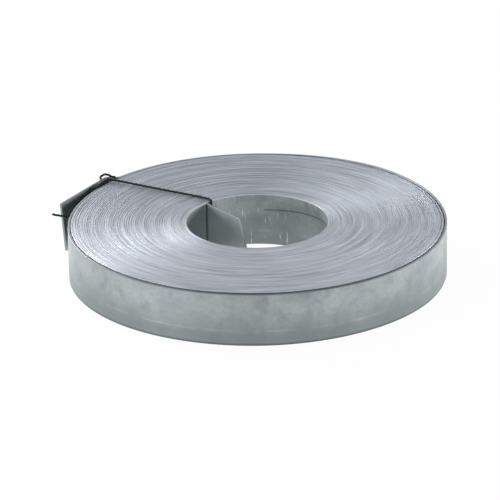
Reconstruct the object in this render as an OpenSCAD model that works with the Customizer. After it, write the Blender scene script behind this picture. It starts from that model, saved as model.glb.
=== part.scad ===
// Roll of galvanised steel tension band, tied with one black annealed wire and lying on it.
// The origin is the middle of the coil: on its axis, half way up the width of the band.

/* [Band] */
// Width of the band, which is the height of the lying coil
band_w = 25; // [15:1:50]
// Thickness of the band
band_t = 1; // [0.6:0.1:2]
// Break of each slit edge of the band
edge_break = 0.12; // [0.05:0.01:0.25]

/* [Coil] */
// Diameter of the bore
bore_d = 66; // [50:1:120]
// Number of turns
turns = 53; // [30:1:80]
// Air left between two turns
turn_air = 0.04; // [0.01:0.01:0.1]

/* [Inner end] */
// Direction round the axis at which the inner end is folded into the bore
fold_a = 138; // [120:1:150]
// Angle through which the inner end is folded
fold_turn = 101; // [80:1:110]
// Inside radius of the fold
fold_r = 1; // [0.5:0.1:2]
// Length of the folded tab along its upper edge
tab_l = 23.5; // [10:0.5:26]
// How much longer the tab is along its lower edge
tab_lead = 10; // [0:1:12]

/* [Outer end] */
// Direction round the axis at which the outer end leaves the coil
spring_a = 137; // [136:0.5:138]
// Angle through which the outer end is cranked away from the coil
crank_turn = 69; // [60:1:75]
// Angle at which the straight end leans back towards the coil
lean_back = 12.5; // [8:0.5:14]
// Inside radius of both bends of the crank
crank_r = 3; // [2:0.5:4]
// Length of the straight end along its upper edge
tail_l = 38; // [30:1:50]
// How much shorter the straight end is along its lower edge
tail_lead = 3.5; // [0:0.5:12]

/* [Tie wire] */
// Diameter of the tie wire
tie_d = 1.2; // [0.8:0.1:1.6]
// Direction round the axis at which the wire crosses the outer rim
tie_out_a = 142; // [138:1:146]
// How far behind the fold the wire enters the bore, in degrees
tie_behind = 6; // [4:1:12]

/* [Hidden] */
$fn = 96;
pitch = band_t + turn_air;
bore_r = bore_d / 2;
half_w = band_w / 2;
// The spiral is drawn with two centres a half pitch apart, one for each half turn.
centre_shift = pitch / 4;
// Inner face of the last turn, about its own centre
last_r = bore_r + (turns - 0.5) * pitch + turn_air;
// Inner face of the last turn where it leaves the coil, seen from the axis
spring_in = last_r + centre_shift * cos(fold_a - spring_a);
// Direction in which the straight end faces outwards, and the distance of its inner face from the axis
tail_a = spring_a + lean_back;
crank_fall = cos(crank_turn + lean_back);
crank_out = (crank_r + band_t) * (cos(lean_back) - crank_fall) + crank_r * (1 - crank_fall);
tail_in = spring_in * cos(lean_back) + crank_out;
// Greatest radius of the coil itself
coil_r = bore_r + (turns + 0.5) * pitch + centre_shift;
tie_r = tie_d / 2;
tie_in_a = fold_a - tie_behind;
// The wire stays this far off the faces that it lies on.
seat = 0.06;
reach = tie_r + seat;
// The coil leans on the part of the wire that passes under it.
lean = asin((tie_d + seat) / (coil_r + bore_r));
// Each bend starts a little inside the stretch before it, where it is this much thinner.
lap_in = 0.01;
fold_lap = 3;
crank_lap = 2;
tail_lap = 0.1;
wire_sides = 8;
steps_per_span = 2;

// Radius of the coil's outer wall beneath the sprung end, seen from the axis in direction a
function wall_face(a) = bore_r + turns * pitch - centre_shift * cos(a - fold_a);

// Radius of the bore's wall behind the tab
bore_face = bore_r + pitch / 2 + centre_shift;

// Radius, or height, of the wire's middle on each face that it lies on
wall = wall_face(tie_out_a) + reach;
outside = (tail_in + band_t + reach) / cos(tail_a - tie_out_a);
inner = bore_face - reach;
top = half_w + reach;

// Points of the tie wire, each with its radius, its direction round the axis and its height.
// The free end lies between the coil and its cranked end, and its tip stands out to the side.
stub = [
    [wall + 10.3, tie_out_a + 24.4, 8], [wall + 5.2, tie_out_a + 24.6, 7.7],
    [wall + 1.8, tie_out_a + 24.3, 7.6], [wall + 0.4, tie_out_a + 22.8, 7.8],
    [wall, tie_out_a + 20, 8.4], [wall, tie_out_a + 14, 9.8], [wall, tie_out_a + 8, 11.5],
    [wall + 0.1, tie_out_a + 4, top - 0.5], [wall - 0.7, tie_out_a + 1.4, top + 0.2]
];
down_bore = [
    [inner + 1.2, tie_in_a, top + 0.05], [inner + 0.25, tie_in_a, top - 0.2], [inner, tie_in_a, top - 1],
    [inner, tie_in_a, half_w / 2], [inner, tie_in_a, -half_w / 2],
    [inner, tie_in_a, 1 - top], [inner + 0.25, tie_in_a, 0.2 - top], [inner + 1.2, tie_in_a, -top]
];
// The other end comes up outside the straight end and hooks over its edge.
hook = [
    [outside - 1.2, tie_out_a, -top], [outside - 0.25, tie_out_a, 0.2 - top], [outside, tie_out_a, 1 - top],
    [outside, tie_out_a, 0], [outside, tie_out_a, half_w - 1], [outside, tie_out_a - 0.1, top],
    [outside - 0.9, tie_out_a - 0.8, top + 0.9], [outside - 2.1, tie_out_a - 1, top + 1.25],
    [outside - 3.1, tie_out_a - 1.2, top + 1.15], [outside - 4.9, tie_out_a - 1.7, top + 0.4],
    [outside - 6.5, tie_out_a - 2.4, top + 0.05]
];
// The wire runs straight across the two ends of the coil.
over_top = straight([wall - 3.5, tie_out_a, top + 0.3], [inner + 4, tie_in_a, top + 0.05]);
under = straight([inner + 4, tie_in_a, -top], [wall - 3.5, tie_out_a, -top]);
wire_route = concat(placed(stub), over_top, placed(down_bore), under, placed(hook));

function polar(r, a, z) = [r * cos(a), r * sin(a), z];
function placed(points) = [for (p = points) polar(p[0], p[1], p[2])];
function straight(p, q) =
    let (ends = placed([p, q]))
    [for (t = [0:1 / 3:1]) ends[0] + (ends[1] - ends[0]) * t];

// Section of the band standing on its edge, with its inner face at radius r, drawn in by an inset
module section(r, inset = 0) {
    near = r + inset;
    far = r + band_t - inset;
    h = half_w - inset;
    e = edge_break;
    polygon([
        [near + e, -h], [far - e, -h], [far, e - h], [far, h - e],
        [far - e, h], [near + e, h], [near, h - e], [near, e - h]
    ]);
}

// Section of several turns lying against each other, with one groove from turn to turn on each end
module turned_section(r, count) {
    e = edge_break;
    crest = [[0, half_w - e], [e, half_w], [pitch - e, half_w]];
    upper = [for (i = [0:count - 1], p = crest) [r + i * pitch + p[0], p[1]]];
    lower = [for (i = [count - 1:-1:0], k = [2:-1:0]) [r + i * pitch + crest[k][0], -crest[k][1]]];
    outer = [[r + count * pitch, half_w - e], [r + count * pitch, e - half_w]];
    polygon(concat(upper, outer, lower));
}

// Half a coil on one side of the line between the two centres
module half_coil(side, r, count) {
    translate([side * centre_shift, 0, 0])
        rotate([0, 0, side < 0 ? 0 : 180])
            rotate_extrude(angle = 180) turned_section(r, count);
}

// The last turn, up to where it leaves the coil
module last_turn() {
    translate([centre_shift, 0, 0])
        rotate([0, 0, 180])
            rotate_extrude(angle = 180 + spring_a - fold_a) section(last_r);
}

// A flat end of the band that starts at an overlap, with its inner face at x = 0
module flat_end(overlap, upper_l, lower_l) {
    rotate([90, 0, 90])
        linear_extrude(band_t)
            polygon([[-overlap, half_w], [upper_l, half_w], [lower_l, -half_w], [-overlap, -half_w]]);
}

// The outer end: cranked outwards by two bends, then straight and sheared across
module sprung_end() {
    out_r = crank_r + band_t;
    bend_back = crank_turn + lean_back;
    rotate([0, 0, spring_a - fold_a]) translate([spring_in + out_r, 0, 0]) rotate([0, 0, -crank_turn]) {
        rotate([0, 0, 180])
            rotate_extrude(angle = crank_turn + crank_lap) section(crank_r, lap_in);
        translate([-out_r - crank_r, 0, 0]) {
            rotate([0, 0, -crank_lap])
                rotate_extrude(angle = bend_back + crank_lap) section(crank_r, 2 * lap_in);
            rotate([0, 0, bend_back])
                translate([crank_r, 0, 0]) flat_end(tail_lap, tail_l, tail_l - tail_lead);
        }
    }
}

// The inner end: a sharp fold and a flat tab that stands into the bore
module inner_tab() {
    fold_x = bore_r - centre_shift - fold_r;
    translate([fold_x, 0, 0]) rotate([0, 0, -fold_turn]) {
        rotate_extrude(angle = fold_turn + fold_lap) section(fold_r, lap_in);
        translate([fold_r, 0, 0])
            mirror([0, 1, 0]) flat_end(0, tab_l, tab_l + tab_lead);
    }
}

module band_coil() {
    color("#a9afb3") lying() rotate([0, 0, fold_a]) {
        union() {
            half_coil(-1, bore_r, turns);
            inner_tab();
        }
        union() {
            half_coil(1, bore_r + pitch / 2, turns - 1);
            union() {
                last_turn();
                sprung_end();
            }
        }
    }
}

// Point of a smooth curve through four route points, between the second and the third
function smooth(p, q, r, s, t) =
    0.5 * (2 * q + (r - p) * t + (2 * p - 5 * q + 4 * r - s) * t * t + (3 * q - p - 3 * r + s) * t * t * t);

function unit(v) = v / norm(v);

// Closed tube of radius r along the points of a path
module tube(path, r) {
    last = len(path) - 1;
    heading = [for (i = [0:last]) unit(path[min(i + 1, last)] - path[max(i - 1, 0)])];
    first_side = unit(cross(heading[0], [0, 0, 1]));
    // The side vector is carried along so that the tube doesn't twist.
    side = [
        for (
            i = 0, v = first_side;
            i <= last;
            i = i + 1, v = i > last ? v : unit(v - heading[i] * (v * heading[i]))
        ) v
    ];
    ring = [
        for (i = [0:last], k = [0:wire_sides - 1])
            let (a = 360 * k / wire_sides)
            path[i] + r * (cos(a) * side[i] + sin(a) * cross(heading[i], side[i]))
    ];
    walls = [
        for (i = [0:last - 1], k = [0:wire_sides - 1])
            let (a = i * wire_sides, n = (k + 1) % wire_sides)
            [a + k, a + n, a + wire_sides + n, a + wire_sides + k]
    ];
    caps = [
        [for (k = [wire_sides - 1:-1:0]) k],
        [for (k = [0:wire_sides - 1]) last * wire_sides + k]
    ];
    polyhedron(ring, concat(walls, caps), convexity = 8);
}

module tie_wire() {
    n = len(wire_route) - 1;
    path = [
        for (i = [0:n - 1], k = [0:steps_per_span - 1])
            smooth(wire_route[max(i - 1, 0)], wire_route[i], wire_route[i + 1], wire_route[min(i + 2, n)],
                k / steps_per_span)
    ];
    color("#1d1e20") lying() tube(concat(path, [wire_route[n]]), tie_r);
}

// Turns its children to the pose in which the coil rests on its wire
module lying() {
    rotate(a = lean, v = [sin(tie_out_a), -cos(tie_out_a), 0]) children();
}

band_coil();
tie_wire();
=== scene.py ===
# %% [markdown]
# # A tied roll of tension band
# The object is one long strip of galvanised steel, wound on edge into a flat roll. Its inner end
# is folded into the bore, its outer end is cranked away by two bends, and a twisted black wire
# ties the roll. The solids of the roll are loaded first as a fixed frame, and every piece made
# here lies in that frame, in metres.

# %% Load the frame
import math
import random

import bmesh
import bpy
from mathutils import Matrix, Vector


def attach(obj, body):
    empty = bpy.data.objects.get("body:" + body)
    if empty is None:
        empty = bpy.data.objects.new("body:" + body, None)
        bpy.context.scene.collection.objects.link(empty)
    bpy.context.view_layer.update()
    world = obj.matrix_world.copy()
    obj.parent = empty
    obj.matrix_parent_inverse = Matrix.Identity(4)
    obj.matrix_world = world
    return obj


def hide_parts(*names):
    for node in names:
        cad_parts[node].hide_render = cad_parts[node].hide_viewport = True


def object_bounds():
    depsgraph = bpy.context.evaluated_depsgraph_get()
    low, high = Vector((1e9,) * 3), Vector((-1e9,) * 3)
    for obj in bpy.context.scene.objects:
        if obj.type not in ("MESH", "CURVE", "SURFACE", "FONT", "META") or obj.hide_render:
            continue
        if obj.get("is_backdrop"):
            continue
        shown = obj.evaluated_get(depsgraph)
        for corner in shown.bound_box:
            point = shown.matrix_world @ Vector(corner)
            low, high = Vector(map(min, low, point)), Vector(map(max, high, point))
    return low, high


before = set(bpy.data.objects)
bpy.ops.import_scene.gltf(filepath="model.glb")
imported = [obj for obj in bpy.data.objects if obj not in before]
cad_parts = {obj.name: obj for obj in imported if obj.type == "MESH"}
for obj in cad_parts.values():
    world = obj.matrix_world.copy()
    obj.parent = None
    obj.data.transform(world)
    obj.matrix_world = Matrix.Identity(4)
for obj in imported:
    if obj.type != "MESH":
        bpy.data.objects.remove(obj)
cad_low, cad_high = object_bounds()
print("frame from", [round(v, 4) for v in cad_low], "to", [round(v, 4) for v in cad_high])

# %% [markdown]
# ## The pose of the roll
# The roll lies on a floor, but the tie wire passes under it, so it leans on the wire by about
# half a degree. All pieces are modelled about an upright axis, where the numbers are round, and
# one matrix then lays them down. That is easier than working with tilted places.

# %% Sizes of the roll and the matrix that lays it down
MM = 0.001
BAND_W = 25 * MM
BAND_T = 1 * MM
TURN_AIR = 0.04 * MM
PITCH = BAND_T + TURN_AIR
# The spiral is drawn about two centres, each this far from the axis.
CENTRE_SHIFT = PITCH / 4
TURNS = 53
BORE_R = 33 * MM
COIL_R = BORE_R + (TURNS + 0.5) * PITCH + CENTRE_SHIFT
TIE_D = 1.2 * MM
# The wire stays this far off the faces that it lies on.
SEAT = 0.06 * MM
# Direction in degrees in which the wire crosses the outer rim
TIE_OUT_A = 142
LEAN = math.asin((TIE_D + SEAT) / (COIL_R + BORE_R))

lean_side = math.radians(TIE_OUT_A - 90)
LYING = Matrix.Rotation(LEAN, 4, Vector((math.cos(lean_side), math.sin(lean_side), 0)))
print("the roll leans by", round(math.degrees(LEAN), 2), "degrees")

# %% [markdown]
# ## The camera
# The picture was taken with a long lens from a little above. The camera's distance, height and
# lens were found by fitting the two rims of the roll. A camera can be placed with a target
# constraint, but a matrix built from a few angles keeps the small roll of the picture too.

# %% Place the camera
IMAGE_SIZE = 500
FOCAL_PX = 4514.4
SENSOR_MM = 36
CAMERA_DISTANCE = 2108 * MM
CAMERA_HEIGHT_A = math.radians(22.326)
AIM_PITCH = math.radians(-0.264)
AIM_YAW = math.radians(-0.091)
AIM_ROLL = math.radians(0.775)

look_down = Matrix.Rotation(math.radians(90) - CAMERA_HEIGHT_A, 3, "X")
pitch_and_yaw = Matrix.Rotation(AIM_PITCH, 3, "X") @ Matrix.Rotation(AIM_YAW, 3, "Y")
camera_turn = look_down @ (Matrix.Rotation(AIM_ROLL, 3, "Z") @ pitch_and_yaw).transposed()
camera_place = look_down @ Vector((0, 0, CAMERA_DISTANCE)) - Vector((0, 0, BAND_W / 2))
camera = bpy.data.objects.new("camera", bpy.data.cameras.new("camera"))
camera.data.sensor_width = SENSOR_MM
camera.data.lens = FOCAL_PX * SENSOR_MM / IMAGE_SIZE
camera.matrix_world = LYING @ Matrix.Translation(camera_place) @ camera_turn.to_4x4()
bpy.context.scene.collection.objects.link(camera)
bpy.context.scene.camera = camera
camera_at = [round(v, 3) for v in camera.matrix_world.translation]
print("lens", round(camera.data.lens), "mm at", camera_at)

# %% [markdown]
# ## The wound band
# The band is one continuous strip, so it is modelled as one. A spiral could be a curve with a
# bevel, but spin keeps the section upright and exact: each half turn is spun about its own
# centre on the line of the fold, and the centres step to and fro, so the radius grows by half a
# pitch each time and the strip runs on without a kink. The section is a rectangle with broken
# edges. The knives that slit a strip round one side of it more and leave the edges a little out
# of square, and on this roll that side faces outwards.

# %% The section of the band
ROUNDED_BREAK = 0.1 * MM
SHARP_BREAK = 0.05 * MM
EDGE_SLANT = 0.1 * MM

section = bmesh.new()
# The size of a grid is half its side, so this is a square with a side of one.
bmesh.ops.create_grid(section, x_segments=1, y_segments=1, size=0.5)
bmesh.ops.scale(section, vec=(BAND_T, BAND_W, 1), verts=section.verts)
bmesh.ops.rotate(section, matrix=Matrix.Rotation(math.radians(90), 3, "X"), verts=section.verts)
for side, size in ((1, ROUNDED_BREAK), (-1, SHARP_BREAK)):
    corners = [vert for vert in section.verts if vert.co.x * side > 0]
    bmesh.ops.bevel(section, geom=corners, offset=size, offset_type="OFFSET", affect="VERTICES",
                    segments=1, profile=0.5, material=-1)
for vert in section.verts:
    # Zero on the inner face and one on the outer face
    outwards = vert.co.x / BAND_T + 0.5
    vert.co.z -= math.copysign(EDGE_SLANT * outwards, vert.co.z)
bmesh.ops.delete(section, geom=section.faces[:], context="FACES_ONLY")
SECTION_POINTS = len(section.verts)
print("section with", SECTION_POINTS, "points")

# %% [markdown]
# ### Runs of the band
# Every operator looks at the whole mesh, so spinning thousands of steps in one large mesh would
# take minutes. Each run of the band is made in a small mesh of its own instead, from a copy of
# the section, and then added to the band. A matrix keeps the place where the band ends, and a
# list notes the length at every section, because the finish of a rolled strip follows its
# length and not the place where it lies.

# %% Helpers for spun and straight runs
UP = Vector((0, 0, 1))

band = bmesh.new()
lengths = []
seams = set()


def join_run(run, run_lengths):
    """Adds one run of sections to the band, and notes their lengths and the seams at its ends."""
    scratch = bpy.data.meshes.new("run")
    run.to_mesh(scratch)
    run.free()
    band.from_mesh(scratch)
    bpy.data.meshes.remove(scratch)
    seams.update((len(lengths), len(lengths) + len(run_lengths) - 1))
    lengths.extend(run_lengths)


def spin_run(place, centre, angle, steps, rise=0.0):
    """Spins the section about an upright axis, and returns the place where it ends."""
    run = section.copy()
    bmesh.ops.transform(run, matrix=place, verts=run.verts)
    bmesh.ops.spin(run, geom=run.verts[:] + run.edges[:], cent=centre, axis=UP, angle=angle,
                   steps=steps, dvec=UP * (rise / steps), use_merge=False, use_duplicate=False)
    arc = (place.translation - centre).to_2d().length * abs(angle)
    join_run(run, [lengths[-1] + arc * i / steps for i in range(steps + 1)])
    turn = Matrix.Rotation(angle, 4, "Z")
    about = Matrix.Translation(centre) @ turn @ Matrix.Translation(-centre)
    return Matrix.Translation(UP * rise) @ about @ place


def flat_run(place, there):
    """Draws the section out straight from one place to another."""
    run = section.copy()
    bmesh.ops.transform(run, matrix=place, verts=run.verts)
    grown = bmesh.ops.extrude_edge_only(run, edges=run.edges[:])["geom"]
    bmesh.ops.transform(run, matrix=there @ place.inverted(),
                        verts=[g for g in grown if isinstance(g, bmesh.types.BMVert)])
    start = lengths[-1] if lengths else 0.0
    join_run(run, [start, start + (there.translation - place.translation).length])


# %% [markdown]
# ### The tab and the fold
# The inner end was folded sharply into the bore and stands there as a flat tab with a slanted
# cut. The cut could be made by bisecting a longer tab. Slanting the first section with a matrix
# gives the same cut and leaves nothing over. The fold is a short spin inside the bend.

# %% Draw out the tab and the fold
FOLD_A = math.radians(138)
FOLD_TURN = math.radians(101)
FOLD_R = 1 * MM
FOLD_STEPS = 12
TAB_L = 23.5 * MM
TAB_LEAD = 10 * MM


def slanted(lead):
    """A matrix that moves the upper edge of the section on and the lower edge back."""
    slant = Matrix.Identity(4)
    slant[1][2] = lead / BAND_W
    return slant


first_centre = Vector((-CENTRE_SHIFT, 0, 0))
fold_centre = first_centre + Vector((BORE_R - FOLD_R, 0, 0))
at_fold = Matrix.Translation(fold_centre) @ Matrix.Rotation(-FOLD_TURN, 4, "Z")
tab_root = at_fold @ Matrix.Translation((FOLD_R + BAND_T / 2, 0, 0))
tab_end = tab_root @ Matrix.Translation((0, -TAB_L - TAB_LEAD / 2, 0)) @ slanted(TAB_LEAD)
flat_run(tab_end, tab_root)
place = spin_run(tab_root, fold_centre, FOLD_TURN, FOLD_STEPS)
print("tab and fold,", round(lengths[-1] / MM), "mm of band")

# %% [markdown]
# ### The turns
# Real turns don't lie perfectly. The air between them differs, and the edge wanders up and down
# by less than a tenth of a millimetre, which gives the end of a roll its fine light and dark
# rings. The last turn of this roll is loose: it has slipped down at the front, where a dark gap
# shows inside it. The air of the loose turns is given and the rest is drawn by chance, scaled so
# that the roll keeps its size.

# %% Share out the air and the levels of the turns
HALF_TURN = math.radians(180)
HALF_TURNS = 2 * TURNS - 1
CHANCE_SEED = 7
# A high power of an even chance is mostly near zero, so most turns lie close and a few apart.
LEAST_AIR = 0.1
AIR_POWER = 5
WANDER = 0.07 * MM
# Air outside the loose half turns, counted from the bore, and the levels of the last ones
LOOSE_AIR = {1: 0.12 * MM, 3: 0.16 * MM, 5: 0.12 * MM, 100: 0.08 * MM, 101: 0.25 * MM,
             102: 0.38 * MM, 103: 0.48 * MM, 104: 0.04 * MM}
LOOSE_RISE = {103: 0.05 * MM, 104: -0.28 * MM, 105: -0.4 * MM}

chance = random.Random(CHANCE_SEED)
drawn = [LEAST_AIR + chance.random() ** AIR_POWER for _ in range(HALF_TURNS)]
airs = {}
for side in (0, 1):
    turns_on_side = range(side, HALF_TURNS, 2)
    loose = sum(LOOSE_AIR.get(k, 0) for k in turns_on_side)
    spare = sum(drawn[k] for k in turns_on_side if k not in LOOSE_AIR)
    share = (len(turns_on_side) * TURN_AIR - loose) / spare
    airs.update({k: LOOSE_AIR.get(k, drawn[k] * share) for k in turns_on_side})
levels = [0.0] + [LOOSE_RISE.get(k, chance.uniform(-WANDER, WANDER))
                  for k in range(1, HALF_TURNS + 1)]
print("air from", round(min(airs.values()) / MM, 3), "to", round(max(airs.values()) / MM, 3), "mm")

# %% [markdown]
# ### Spinning the turns
# Each half turn starts at the place where the one before it ends. Its centre moves by half the
# thickness and half the air, to one side and then to the other, and the spin also lifts or
# lowers the strip to its next level, so no step shows between two half turns.

# %% Spin the turns
HALF_STEPS = 60

centre = first_centre.copy()
radius = BORE_R
for k in range(HALF_TURNS):
    place = spin_run(place, centre, HALF_TURN, HALF_STEPS, levels[k + 1] - levels[k])
    step = (BAND_T + airs[k]) / 2
    centre.x += step if k % 2 == 0 else -step
    radius += step
print("turns out to", round((radius + BAND_T) / MM, 2), "mm,", round(lengths[-1], 2), "m of band")

# %% [markdown]
# ### The cranked outer end
# The last half turn climbs at the back, sinks again and runs to where the band leaves the roll.
# There it was bent sharply outwards and back, and from the second bend it runs straight to a
# slanted shear cut. A curve with a bevel could follow the bends, but it would pinch the section
# in them. So the bends are spins about centres on either side of the band, one with a negative
# angle.

# %% Spin the last half turn and draw out the outer end
SPRING_A = math.radians(137)
CLIMB = 0.8 * MM
CLIMB_SHARE = 0.5
SINK_SHARE = 0.2
LEVEL_SHARE = 0.3
CRANK_TURN = math.radians(69)
LEAN_BACK = math.radians(12.5)
CRANK_R = 3 * MM
CRANK_STEPS = 10
TAIL_L = 38 * MM
TAIL_LEAD = 3.5 * MM

last_angle = HALF_TURN + SPRING_A - FOLD_A
for share, rise in ((CLIMB_SHARE, CLIMB - levels[-1]), (SINK_SHARE, -CLIMB), (LEVEL_SHARE, 0)):
    place = spin_run(place, centre, last_angle * share, round(HALF_STEPS * share), rise)
bend_reach = Vector((CRANK_R + BAND_T / 2, 0, 0))
place = spin_run(place, place @ bend_reach, -CRANK_TURN, CRANK_STEPS)
place = spin_run(place, place @ -bend_reach, CRANK_TURN + LEAN_BACK, CRANK_STEPS)
tail_end = place @ Matrix.Translation((0, TAIL_L - TAIL_LEAD / 2, 0)) @ slanted(TAIL_LEAD)
flat_run(place, tail_end)
print("band", round(lengths[-1], 2), "m long")

# %% [markdown]
# ### One closed strip
# The runs lie end to end, but each has a section of its own at the seam, so the doubles there
# are merged, and a face closes each end of the strip. Before that, every point gets its length
# along the band and its height across it as attributes, which the finishes read later. A UV map
# could hold the two as well, but attributes keep them in metres.

# %% Note the places on the strip, join the runs and close the ends
SEAM_GAP = 0.001 * MM

band.verts.index_update()
along = band.verts.layers.float.new("along")
across = band.verts.layers.float.new("across")
for vert in band.verts:
    vert[along] = lengths[vert.index // SECTION_POINTS]
    vert[across] = vert.co.z + BAND_W / 2
end_rings = (0, len(lengths) - 1)
end_loops = [[e for e in band.edges if all(v.index // SECTION_POINTS == ring for v in e.verts)]
             for ring in end_rings]
seam_verts = [vert for vert in band.verts if vert.index // SECTION_POINTS in seams]
bmesh.ops.remove_doubles(band, verts=seam_verts, dist=SEAM_GAP)
for loop in end_loops:
    bmesh.ops.edgeloop_fill(band, edges=loop)
print("one strip of", len(band.faces), "faces")

# %% [markdown]
# ### Faces and edges of the strip
# The wide faces carry the zinc coat, and the narrow ones were slit after coating, so they get a
# finish of their own. The normals tell them apart while the axis still stands upright. Normals
# are recalculated first, because spin can turn a shape inside out. Once the band lies, the floor
# stops the turns that slipped down, so no point stays below the lowest one of the frame.

# %% Lay the band down and make it a piece
ZINC_INDEX, SLIT_INDEX = 0, 1
SLIT_LIMIT = 0.5
QUAD_CORNERS = 4
BAND_SHARP_A = math.radians(20)


def make_piece(mesh, name, node):
    """Turns a bmesh into an object that rides on the roll in place of a solid of the frame."""
    data = bpy.data.meshes.new(name)
    mesh.to_mesh(data)
    mesh.free()
    piece = bpy.data.objects.new(name, data)
    bpy.context.scene.collection.objects.link(piece)
    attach(piece, "root")
    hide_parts(node)
    print(name, "has", len(data.polygons), "faces")
    return piece


bmesh.ops.recalc_face_normals(band, faces=band.faces)
for face in band.faces:
    face.smooth = True
    was_cut = len(face.verts) > QUAD_CORNERS or abs(face.normal.z) > SLIT_LIMIT
    face.material_index = SLIT_INDEX if was_cut else ZINC_INDEX
bmesh.ops.transform(band, matrix=LYING @ Matrix.Rotation(FOLD_A, 4, "Z"), verts=band.verts)
for vert in band.verts:
    vert.co.z = max(vert.co.z, cad_low.z)
wound_band = make_piece(band, "wound_band", "band_coil")
wound_band.data.set_sharp_from_angle(angle=BAND_SHARP_A)

# %% [markdown]
# ## The tie wire
# The tie is a soft annealed wire of three thin strands twisted together. It goes over the top, down
# the bore behind the tab, back under the roll and up outside the cranked end, where it hooks over
# the edge. Its free end lies in the gap between the roll and the cranked end. The route is a list
# of given points, each with a radius and a height in millimetres and a direction in degrees, and
# the two runs across the ends of the roll are straight.

# %% The faces that the wire lies on
# Heights and radii of the middle of the wire, in millimetres
half_w = BAND_W / 2 / MM
reach = (TIE_D / 2 + SEAT) / MM
top = half_w + reach
inner = (BORE_R + PITCH / 2 + CENTRE_SHIFT) / MM - reach
coil_face = BORE_R + TURNS * PITCH - CENTRE_SHIFT
wall = coil_face / MM + reach
crank_fall = math.cos(CRANK_TURN + LEAN_BACK)
crank_out = (CRANK_R + BAND_T) * (math.cos(LEAN_BACK) - crank_fall) + CRANK_R * (1 - crank_fall)
tail_out = ((coil_face + TURN_AIR) * math.cos(LEAN_BACK) + crank_out + BAND_T) / MM
outside = (tail_out + reach) / math.cos(SPRING_A + LEAN_BACK - math.radians(TIE_OUT_A))
print("wire at", round(inner, 2), round(wall, 2), "and", round(outside, 2), "mm from the axis")

# %% [markdown]
# ### The route
# The places on the real wire are read off in the order in which a hand would lead it: the free
# end, the run over the top, the way down the bore, the run below and the hook. A bent wire holds
# its corners, so each corner has a few points close together.

# %% The route of the wire
OUT = TIE_OUT_A
# Direction in degrees in which the wire enters the bore
IN = 130
STRAIGHT_SPANS = 3

stub = [
    (wall + 10.3, OUT + 24.4, 8), (wall + 5.2, OUT + 24.6, 7.7), (wall + 1.8, OUT + 24.3, 7.6),
    (wall + 0.4, OUT + 22.8, 7.8), (wall, OUT + 20, 8.4), (wall, OUT + 14, 9.8),
    (wall, OUT + 8, 11.5), (wall + 0.1, OUT + 4, top - 0.5), (wall - 0.7, OUT + 1.4, top + 0.2)]
down_bore = [
    (inner + 1.2, IN, top + 0.05), (inner + 0.25, IN, top - 0.2), (inner, IN, top - 1),
    (inner, IN, half_w / 2), (inner, IN, -half_w / 2),
    (inner, IN, 1 - top), (inner + 0.25, IN, 0.2 - top), (inner + 1.2, IN, -top)]
hook = [
    (outside - 1.2, OUT, -top), (outside - 0.25, OUT, 0.2 - top), (outside, OUT, 1 - top),
    (outside, OUT, 0), (outside, OUT, half_w - 1), (outside, OUT - 0.1, top),
    (outside - 0.9, OUT - 0.8, top + 0.9), (outside - 2.1, OUT - 1, top + 1.25),
    (outside - 3.1, OUT - 1.2, top + 1.15), (outside - 4.9, OUT - 1.7, top + 0.4),
    (outside - 6.5, OUT - 2.4, top + 0.05)]


def placed(points):
    """Points in metres from a radius, a direction and a height."""
    return [Matrix.Rotation(math.radians(a), 3, "Z") @ Vector((r, 0, z)) * MM for r, a, z in points]


def straight(*ends):
    """Evenly spaced points on the straight line between two ends."""
    first, last = placed(ends)
    return [first.lerp(last, i / STRAIGHT_SPANS) for i in range(STRAIGHT_SPANS + 1)]


over_top = straight((wall - 3.5, OUT, top + 0.3), (inner + 4, IN, top + 0.05))
under = straight((inner + 4, IN, -top), (wall - 3.5, OUT, -top))
route = placed(stub) + over_top + placed(down_bore) + under + placed(hook)
print("route of", len(route), "points")

# %% [markdown]
# ### Stations along the route
# A smooth curve through the points is cut into even steps, so that the twist of the strands
# comes out even too. At each step a matrix holds the place, the heading and the twist. The side
# vector is carried along from step to step, which keeps the wire from turning at the corners.

# %% Stations of the wire
STATION_GAP = 0.37 * MM
SPAN_SAMPLES = 40
TWIST_LENGTH = 7.5 * MM


def smooth_point(p, q, r, s, t):
    """Point of a smooth curve through four points, between the second and the third."""
    return 0.5 * (2 * q + (r - p) * t + (2 * p - 5 * q + 4 * r - s) * t ** 2
                  + (3 * q - p - 3 * r + s) * t ** 3)


def evenly_spaced(points, gap):
    """Points of the smooth curve through a route, one gap apart."""
    held = [points[0]] + points + [points[-1]]
    spans = zip(held, held[1:], held[2:], held[3:])
    fine = [smooth_point(*span, i / SPAN_SAMPLES) for span in spans for i in range(SPAN_SAMPLES)]
    even = [fine[0]]
    for p in fine + [points[-1]]:
        if (p - even[-1]).length >= gap:
            even.append(even[-1] + (p - even[-1]).normalized() * gap)
    return even


path = evenly_spaced(route, STATION_GAP)
stations = []
side = (path[1] - path[0]).orthogonal()
for i, spot in enumerate(path):
    heading = (path[min(i + 1, len(path) - 1)] - path[max(i - 1, 0)]).normalized()
    side = (side - heading * side.dot(heading)).normalized()
    facing = Matrix((side, heading.cross(side), heading)).transposed().to_4x4()
    twist = Matrix.Rotation(math.tau * STATION_GAP * i / TWIST_LENGTH, 4, "Z")
    stations.append(Matrix.Translation(spot) @ facing @ twist)
print("wire", round(STATION_GAP * len(path) / MM), "mm long")

# %% [markdown]
# ### Twisting three strands
# A curve with a round bevel would give one plain wire. Here three round faces are extruded along
# the route together, from station to station, so they wind round each other as the real strands
# do. An extrusion leaves the faces that it started from inside the strand. Those are deleted,
# except for the first ones, which close the start of the wire.

# %% Sweep the three strands along the route
STRANDS = 3
STRAND_SIDES = 8
STRAND_R = TIE_D / 2 / (1 + 1 / math.sin(math.pi / STRANDS))
WIRE_SHARP_A = math.radians(60)

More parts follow.
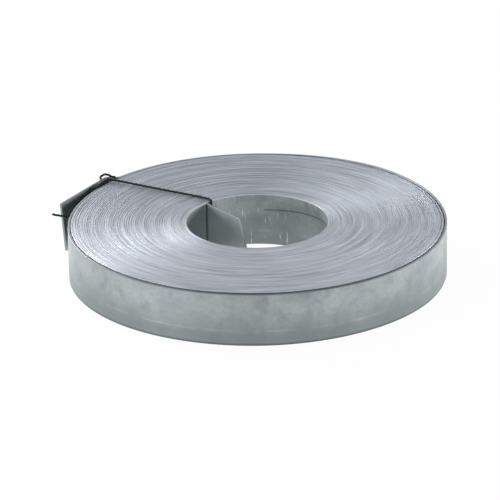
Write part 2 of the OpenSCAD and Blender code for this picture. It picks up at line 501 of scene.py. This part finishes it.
wire = bmesh.new()
for i in range(STRANDS):
    round_about = Matrix.Rotation(math.tau * i / STRANDS, 4, "Z")
    bmesh.ops.create_circle(wire, cap_ends=True, segments=STRAND_SIDES, radius=STRAND_R,
                            matrix=round_about @ Matrix.Translation((TIE_D / 2 - STRAND_R, 0, 0)))
bmesh.ops.transform(wire, matrix=stations[0], verts=wire.verts)
start_caps = wire.faces[:]
ends = start_caps
for here, there in zip(stations, stations[1:]):
    grown = bmesh.ops.extrude_face_region(wire, geom=ends)["geom"]
    if ends is not start_caps:
        bmesh.ops.delete(wire, geom=ends, context="FACES_ONLY")
    ends = [g for g in grown if isinstance(g, bmesh.types.BMFace)]
    bmesh.ops.transform(wire, matrix=there @ here.inverted(),
                        verts=[g for g in grown if isinstance(g, bmesh.types.BMVert)])
bmesh.ops.recalc_face_normals(wire, faces=wire.faces)
for face in wire.faces:
    face.smooth = True
bmesh.ops.transform(wire, matrix=LYING, verts=wire.verts)
twisted_wire = make_piece(wire, "twisted_wire", "tie_wire")
twisted_wire.data.set_sharp_from_angle(angle=WIRE_SHARP_A)

# %% [markdown]
# ## Finishes
# A node material is a small tree of nodes. Setting each node up takes several lines, so one
# function adds a node, sets its options and fills or links its sockets. Colours are written as
# hex values, as a picture editor shows them, and turned to the linear values that light uses.
# Many marks on this roll cover only one stretch of the band, so a second function works out such
# a stretch: how far a place is from its middle, and how strong the mark still is there.

# %% Helpers for the finishes
# The Mix node has sockets of the same name for each kind of value. These are the ones for colours.
MIX_A, MIX_B, MIX_OUT = 6, 7, 2


def linear(hex_colour):
    """Linear colour from an sRGB hex value."""
    parts = [int(hex_colour[i:i + 2], 16) / 255 for i in (1, 3, 5)]
    return [p / 12.92 if p <= 0.04045 else ((p + 0.055) / 1.055) ** 2.4 for p in parts] + [1]


def fill(tree, node, sockets):
    """Fills the named sockets of a node with values, or links them."""
    for name, value in sockets.items():
        if isinstance(value, bpy.types.NodeSocket):
            tree.links.new(value, node.inputs[name])
        else:
            node.inputs[name].default_value = value


def add(tree, kind, sockets, **settings):
    """Adds a node with its settings, and fills or links the sockets that are named."""
    node = tree.nodes.new("ShaderNode" + kind)
    for name, value in settings.items():
        setattr(node, name, value)
    fill(tree, node, sockets)
    return node


def stretch(tree, value, middle, full, fade, strength):
    """A share of full strength up to a distance from a middle, which fades out beyond it.

    With a fade below zero it is the other way round: full beyond that distance.
    """
    apart = add(tree, "Math", {0: value, 1: middle}, operation="SUBTRACT").outputs[0]
    away = add(tree, "Math", {0: apart}, operation="ABSOLUTE").outputs[0]
    return add(tree, "MapRange", {"Value": away, "From Min": full + fade, "From Max": full,
                                  "To Max": strength}).outputs[0]


def new_finish(name):
    """An empty material with its shader and its output joined."""
    material = bpy.data.materials.new(name)
    material.use_nodes = True
    tree = material.node_tree
    return material, tree, tree.nodes["Principled BSDF"]


# %% [markdown]
# ### The zinc coat
# Galvanised strip is steel with a thin coat of zinc, rolled smooth. It mirrors only softly, and
# patches of dull oxide some centimetres long cloud it, with smaller smudges and flecks. Rolling
# leaves fine streaks along it. An image could be wrapped round the roll, but noise that reads
# the length along the band and the height across it follows the strip without a seam.

# %% Clouds, flecks, smudges and streaks of the zinc
CLOUD_MM = 22
FLECK_MM = 1.7
SMUDGE_MM = 7
STREAK_MM = 0.8
STREAK_STRETCH = 60

zinc, tree, shader = new_finish("galvanised_zinc_rolled")
length = add(tree, "Attribute", {}, attribute_name="along").outputs["Fac"]
height = add(tree, "Attribute", {}, attribute_name="across").outputs["Fac"]
on_strip = add(tree, "CombineXYZ", {"X": length, "Y": height}).outputs[0]
clouds = add(tree, "TexNoise", {"Vector": on_strip, "Scale": 1 / (CLOUD_MM * MM), "Detail": 5,
                                "Roughness": 0.6, "Distortion": 0.5}).outputs["Fac"]
flecks = add(tree, "TexNoise", {"Vector": on_strip, "Scale": 1 / (FLECK_MM * MM),
                                "Detail": 3}).outputs["Fac"]
smudges = add(tree, "TexNoise", {"Vector": on_strip, "Scale": 1 / (SMUDGE_MM * MM),
                                 "Detail": 4}).outputs["Fac"]
drawn_out = add(tree, "Mapping", {"Vector": on_strip,
                                  "Scale": (1 / STREAK_STRETCH, 1, 1)}).outputs[0]
streaks = add(tree, "TexNoise", {"Vector": drawn_out, "Scale": 1 / (STREAK_MM * MM),
                                 "Detail": 2}).outputs["Fac"]
clouded = add(tree, "MapRange", {"Value": clouds, "From Min": 0.3, "From Max": 0.7}).outputs[0]
flecked = add(tree, "MapRange", {"Value": flecks, "From Min": 0.35, "From Max": 0.7,
                                 "To Max": 0.4}).outputs[0]
smudged = add(tree, "MapRange", {"Value": smudges, "From Min": 0.5, "From Max": 0.75,
                                 "To Max": 0.45}).outputs[0]
print("clouds of about", CLOUD_MM, "mm and flecks of about", FLECK_MM, "mm")

# %% [markdown]
# ### The rubbed line and the painted shade at the rim
# A guide of the rolling line has rubbed one thin bright line along the lower part of the band, and
# the coat below it is darker, partly a real band and partly painted shade of the shadow at the
# floor. At the front of the last turn both edges carry painted shade, along the top edge and along
# the foot. Both marks are stretches across the band, given as shares of its width, and the painted
# shade is a stretch along it too. One stretch can be the strength of another, which multiplies
# them.

# %% The line and the rim
GUIDE_LINE = 0.27
LINE_HALF_WIDTH = 0.022
BELOW_START = GUIDE_LINE - 0.1
BELOW_END = GUIDE_LINE + 0.4
LINE_WAVE = 0.03
# A fade that is too short to be seen, for marks with a hard edge
CRISP = 0.00002
MIDDLE_UP = 0.5
RIM_SHADE_FROM = 0.485
RIM_SHADE_FADE = -0.03
RIM_MIDDLE = lengths[-1] - 396 * MM
RIM_FULL = 50 * MM
RIM_FADE = 210 * MM

share_up = add(tree, "MapRange", {"Value": height, "From Max": BAND_W}).outputs[0]
wavy = add(tree, "Math", {0: clouds, 1: LINE_WAVE, 2: share_up},
           operation="MULTIPLY_ADD").outputs[0]
# The coat below the line is darker: partly a real band, partly painted shade of the shadow at the
# floor.
lower_band_and_shade = add(tree, "MapRange", {"Value": wavy, "From Min": BELOW_START, "From Max": BELOW_END,
                                    "To Min": 0.85, "To Max": 0}).outputs[0]
line_wear = add(tree, "MapRange", {"Value": clouds, "From Min": 0.42, "From Max": 0.7,
                                   "To Max": 0.22}).outputs[0]
rubbed_line = stretch(tree, share_up, GUIDE_LINE, LINE_HALF_WIDTH, CRISP, line_wear)
# Painted shade close to both edges at the front of the last turn, along the top edge and along the
# foot.
rim_shade_share = stretch(tree, share_up, MIDDLE_UP, RIM_SHADE_FROM, RIM_SHADE_FADE, strength=0.6)
painted_rim_shade = stretch(tree, length, RIM_MIDDLE, RIM_FULL, RIM_FADE, rim_shade_share)
print("line", round(GUIDE_LINE * BAND_W / MM, 1), "mm above the lower edge")

# %% [markdown]
# ### Scratches, the fold's painted shade and the lighter ends
# In the bore the coat is scratched upright, as by a mandrel that was drawn out, and one long dark
# line runs along it at a slope. The sharp fold is painted dark, as painted shade in its crease.
# Both ends of the band are lighter than the rest. The scratches are noise that is squeezed along
# the band, with only its highest peaks kept, because modelled scratches would show no better.

# %% Marks near the ends of the band
SCRATCH_MM = 1.1
SCRATCH_TALL = 9
SCRATCHED_MIDDLE = 205 * MM
SCRATCHED_FULL = 35 * MM
# Height of the long dark line in shares of the width: at the inner end, and what a metre adds
LONG_LINE_START = 1.161
LONG_LINE_SLOPE = -2.245
LONG_LINE_MIDDLE = 183.5 * MM
LONG_LINE_FULL = 27.5 * MM
LONG_LINE_HALF_WIDTH = 0.012
FOLD_SHADE_FULL = 0.7 * MM
LIGHTER_START_FULL = 60 * MM
LIGHTER_FADE = 70 * MM

squeezed = add(tree, "Mapping", {"Vector": on_strip, "Scale": (SCRATCH_TALL, 1, 1)}).outputs[0]
marks = add(tree, "TexNoise", {"Vector": squeezed,
                               "Scale": 1 / (SCRATCH_TALL * SCRATCH_MM * MM)}).outputs["Fac"]
scratched = add(tree, "MapRange", {"Value": marks, "From Min": 0.62, "From Max": 0.71,
                                   "To Max": 0.7}).outputs[0]
scratches = stretch(tree, length, SCRATCHED_MIDDLE, SCRATCHED_FULL, CRISP, scratched)
# A long dark line at a slope along the bore.
long_way = add(tree, "Math", {0: length, 1: LONG_LINE_SLOPE, 2: LONG_LINE_START},
               operation="MULTIPLY_ADD").outputs[0]
long_line_part = stretch(tree, length, LONG_LINE_MIDDLE, LONG_LINE_FULL, CRISP, strength=0.6)
long_dark_line = stretch(tree, share_up, long_way, LONG_LINE_HALF_WIDTH, CRISP, long_line_part)
fold_middle = TAB_L + TAB_LEAD / 2 + FOLD_TURN * (FOLD_R + BAND_T / 2) / 2
# The crease of the fold is painted dark as painted shade.
fold_shade = stretch(tree, length, fold_middle, FOLD_SHADE_FULL, CRISP, strength=0.85)
# Both ends of the band are made lighter.
lighter_start = stretch(tree, length, 0, LIGHTER_START_FULL, LIGHTER_FADE, strength=0.38)
lighter_end = stretch(tree, length, lengths[-1], 0, LIGHTER_FADE, strength=0.4)
print("fold", round(fold_middle / MM, 1), "mm from the inner end")

# %% [markdown]
# ### The shades of the zinc
# The shades are laid over one another in a loop, each by its own share, from the wide clouds to
# the dark fold. Zinc is a metal, so these shades tint what it mirrors. The light patches are a
# little smoother than the dull ones, and the streaks are a very low relief.

# %% Galvanised zinc on the wide faces
STREAK_DEPTH = 0.03 * MM

# Of these shades, the band below the line is partly painted shade, and the rim and the fold are
# painted shade.
zinc_layers = (
    (clouded, "#b3babc"), (flecked, "#8f9799"), (lower_band_and_shade, "#7f8788"), (rubbed_line, "#d3d8d8"),
    (smudged, "#767e80"), (lighter_start, "#ccd4d4"), (lighter_end, "#ccd4d4"), (scratches, "#dfe3e3"),
    (long_dark_line, "#3f4648"), (painted_rim_shade, "#4f5759"), (fold_shade, "#202527"))
colour = linear("#92999c")
for share, hex_colour in zinc_layers:
    colour = add(tree, "Mix", {0: share, MIX_A: colour, MIX_B: linear(hex_colour)},
                 data_type="RGBA").outputs[MIX_OUT]
dull = add(tree, "MapRange", {"Value": clouds, "From Min": 0.3, "From Max": 0.7,
                              "To Min": 0.5, "To Max": 0.4}).outputs[0]
relief = add(tree, "Bump", {"Height": streaks, "Strength": 0.12,
                            "Distance": STREAK_DEPTH}).outputs[0]
fill(tree, shader, {"Base Color": colour, "Roughness": dull, "Normal": relief, "Metallic": 1})
wound_band.data.materials.append(zinc)
print(zinc.name, "with", len(tree.nodes), "nodes")

# %% [markdown]
# ### The slit edges
# The strip was slit from a wide sheet, so its edges are bare, bright steel with a fine grain.
# Each stretch met the knives a little differently, which makes some turns lighter than their
# neighbours. The pattern runs along the length, so a turn keeps its shade for some way round.
# A stretch of the bore's edge carries a painted highlight, the two ends are darker, and the front
# of the rim carries painted shade.

# %% Shades along the slit edges
SHADE_MM = 45
STAIN_MM = 60
# Real grain is finer, and this is as coarse as it needs to be to show.
GRAIN_MM = 0.5
LIP_MIDDLE = 208 * MM
LIP_FULL = 34 * MM
DARK_END_FULL = 20 * MM
DARK_END_FADE = 30 * MM

slit, tree, shader = new_finish("slit_steel_edge")
length = add(tree, "Attribute", {}, attribute_name="along").outputs["Fac"]
on_edge = add(tree, "CombineXYZ", {"X": length}).outputs[0]
shades = add(tree, "TexNoise", {"Vector": on_edge, "Scale": 1 / (SHADE_MM * MM), "Detail": 3,
                                "Roughness": 0.6}).outputs["Fac"]
stains = add(tree, "TexNoise", {"Vector": on_edge, "Scale": 1 / (STAIN_MM * MM),
                                "Detail": 2}).outputs["Fac"]
grain = add(tree, "TexNoise", {"Vector": on_edge, "Scale": 1 / (GRAIN_MM * MM),
                               "Detail": 2}).outputs["Fac"]
shaded = add(tree, "MapRange", {"Value": shades, "From Min": 0.3, "From Max": 0.7}).outputs[0]
stained = add(tree, "MapRange", {"Value": stains, "From Min": 0.54, "From Max": 0.68,
                                 "To Max": 0.4}).outputs[0]
# A painted highlight on a stretch of the slit edge along the bore.
lip_highlight = stretch(tree, length, LIP_MIDDLE, LIP_FULL, CRISP, strength=0.5)
dark_tab = stretch(tree, length, 0, fold_middle, CRISP, strength=0.6)
dark_end = stretch(tree, length, lengths[-1], DARK_END_FULL, DARK_END_FADE, strength=0.6)
# Painted shade on the slit edges at the front of the last turn.
edge_rim_shade = stretch(tree, length, RIM_MIDDLE, RIM_FULL, RIM_FADE, strength=0.75)
print("shades of about", SHADE_MM, "mm along the edges")

# %% [markdown]
# ### The shine of the slit edges
# The grain of the edges runs round the roll, so they shine in a drawn-out way, as a record does.
# An anisotropic shader gives that when it knows the direction of the grain. A Tangent node reads
# the box of the object, so here the direction is worked out from the place on the roll instead:
# it stands square to the axis and to the way out from it. A rotation of 0.25 is a quarter turn,
# which sets the stretch of the shine across the grain.

# %% Slit steel on the edges
slit_layers = (
    (shaded, "#d5d8df"), (stained, "#6d7178"), (lip_highlight, "#eef0f2"), (dark_tab, "#7c8486"),
    (dark_end, "#7c8486"), (edge_rim_shade, "#4a5053"))
colour = linear("#a4a8b1")
for share, hex_colour in slit_layers:
    colour = add(tree, "Mix", {0: share, MIX_A: colour, MIX_B: linear(hex_colour)},
                 data_type="RGBA").outputs[MIX_OUT]
worn = add(tree, "MapRange", {"Value": grain, "From Min": 0.3, "From Max": 0.7,
                              "To Min": 0.52, "To Max": 0.68}).outputs[0]
on_roll = add(tree, "TexCoord", {}).outputs["Object"]
round_axis = add(tree, "VectorMath", {0: UP, 1: on_roll}, operation="CROSS_PRODUCT").outputs[0]
fill(tree, shader, {"Base Color": colour, "Roughness": worn, "Tangent": round_axis, "Metallic": 1,
                    "Anisotropic": 0.4, "Anisotropic Rotation": 0.25})
wound_band.data.materials.append(slit)
print(slit.name, "with", len(tree.nodes), "nodes")

# %% [markdown]
# ### The black wire
# Annealing leaves a thin black oxide on the wire. It is not a bare metal to the eye: a dark coat
# with a soft, slightly oily shine, browner where it has been bent and rubbed. One noise drives
# both the colour and the roughness, because a rubbed place is browner and duller at once.

# %% Black annealed wire
RUB_MM = 3

oxide, tree, shader = new_finish("black_annealed_wire")
on_wire = add(tree, "TexCoord", {}).outputs["Object"]
rubs = add(tree, "TexNoise", {"Vector": on_wire, "Scale": 1 / (RUB_MM * MM),
                              "Detail": 3}).outputs["Fac"]
rubbed = add(tree, "MapRange", {"Value": rubs, "From Min": 0.45, "From Max": 0.75}).outputs[0]
coat = add(tree, "Mix", {0: rubbed, MIX_A: linear("#08090a"), MIX_B: linear("#181614")},
           data_type="RGBA").outputs[MIX_OUT]
oily = add(tree, "MapRange", {"Value": rubs, "To Min": 0.45, "To Max": 0.7}).outputs[0]
fill(tree, shader, {"Base Color": coat, "Roughness": oily, "Specular IOR Level": 0.3})
twisted_wire.data.materials.append(oxide)
print(oxide.name, "with", len(tree.nodes), "nodes")

# %% [markdown]
# ## The floor
# The roll lies on a plain white floor. More light would make it white, but would bleach the
# metal too, so the floor is shown whiter only to rays from the camera and to those that a piece
# mirrors or lets through. The small rest of its own shading keeps the soft shadow of the roll.

# %% White floor
FLOOR_SIZE = 6
FLOOR_GLOW = 0.95

low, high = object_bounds()
ground = bmesh.new()
bmesh.ops.create_grid(ground, x_segments=1, y_segments=1, size=FLOOR_SIZE / 2,
                      matrix=Matrix.Translation((0, 0, low.z)))
floor_mesh = bpy.data.meshes.new("floor")
ground.to_mesh(floor_mesh)
ground.free()
floor = bpy.data.objects.new("floor", floor_mesh)
bpy.context.scene.collection.objects.link(floor)
floor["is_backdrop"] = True

paper, tree, shader = new_finish("white_paper")
fill(tree, shader, {"Base Color": linear("#f4f4f4"), "Roughness": 0.9})
ray = add(tree, "LightPath", {}).outputs
seen_or_mirrored = add(tree, "Math", {0: ray["Is Camera Ray"], 1: ray["Is Glossy Ray"]},
                       operation="ADD").outputs[0]
seen = add(tree, "Math", {0: seen_or_mirrored, 1: ray["Is Transmission Ray"]}, operation="ADD",
           use_clamp=True).outputs[0]
glow_share = add(tree, "Math", {0: seen, 1: FLOOR_GLOW}, operation="MULTIPLY").outputs[0]
glow = add(tree, "Emission", {"Color": linear("#ffffff"), "Strength": 1}).outputs[0]
shown = add(tree, "MixShader", {0: glow_share, 1: shader.outputs[0], 2: glow}).outputs[0]
fill(tree, tree.nodes["Material Output"], {"Surface": shown})
floor_mesh.materials.append(paper)
print("floor at", round(low.z / MM, 2), "mm")

# %% [markdown]
# ## The light
# Bright metal shows what stands round it, so the roll is lit by large soft lamps on several
# sides, each facing it, and by a grey world that fills the rest. A row of a table is enough for
# each lamp: where it stands and how wide it is, in metres, and its power in watts.

# %% Lamps and world
WORLD_STRENGTH = 0.62
LAMPS = (
    ("back_softbox", (-0.85, 1.0, 0.53), 0.9, 5.5),
    ("high_softbox", (-1.1, -0.55, 1.0), 1.4, 4.5),
    ("left_softbox", (-0.95, 0.6, 0.28), 0.5, 17),
    ("right_softbox", (0.9, 0.35, 0.1), 0.4, 9.5),
    ("front_left_softbox", (-1.2, -0.75, 0.15), 0.4, 7),
    ("front_right_softbox", (1.2, -0.75, 0.15), 0.4, 4),
    ("high_back_softbox", (0.5, 0.9, 1.3), 0.3, 1.5),
    ("top_softbox", (0.3, 0, 1.5), 0.5, 3))

for name, spot, size, power in LAMPS:
    lamp = bpy.data.objects.new(name, bpy.data.lights.new(name, "AREA"))
    lamp.data.size = size
    lamp.data.energy = power
    facing = Vector(spot).to_track_quat("Z", "Y").to_matrix().to_4x4()
    lamp.matrix_world = Matrix.Translation(spot) @ facing
    bpy.context.scene.collection.objects.link(lamp)
world = bpy.data.worlds.new("studio")
world.use_nodes = True
fill(world.node_tree, world.node_tree.nodes["Background"],
     {"Color": linear("#c8ccd0"), "Strength": WORLD_STRENGTH})
bpy.context.scene.world = world
bpy.context.scene.view_settings.view_transform = "Standard"
print(len(LAMPS), "lamps")

# %% [markdown]
# ## The box of the pieces
# The box of the finished pieces is printed beside the box of the solids, so the two can be
# compared.

# %% Print the box of the pieces
low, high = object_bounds()
print("pieces from", [round(v, 4) for v in low], "to", [round(v, 4) for v in high])
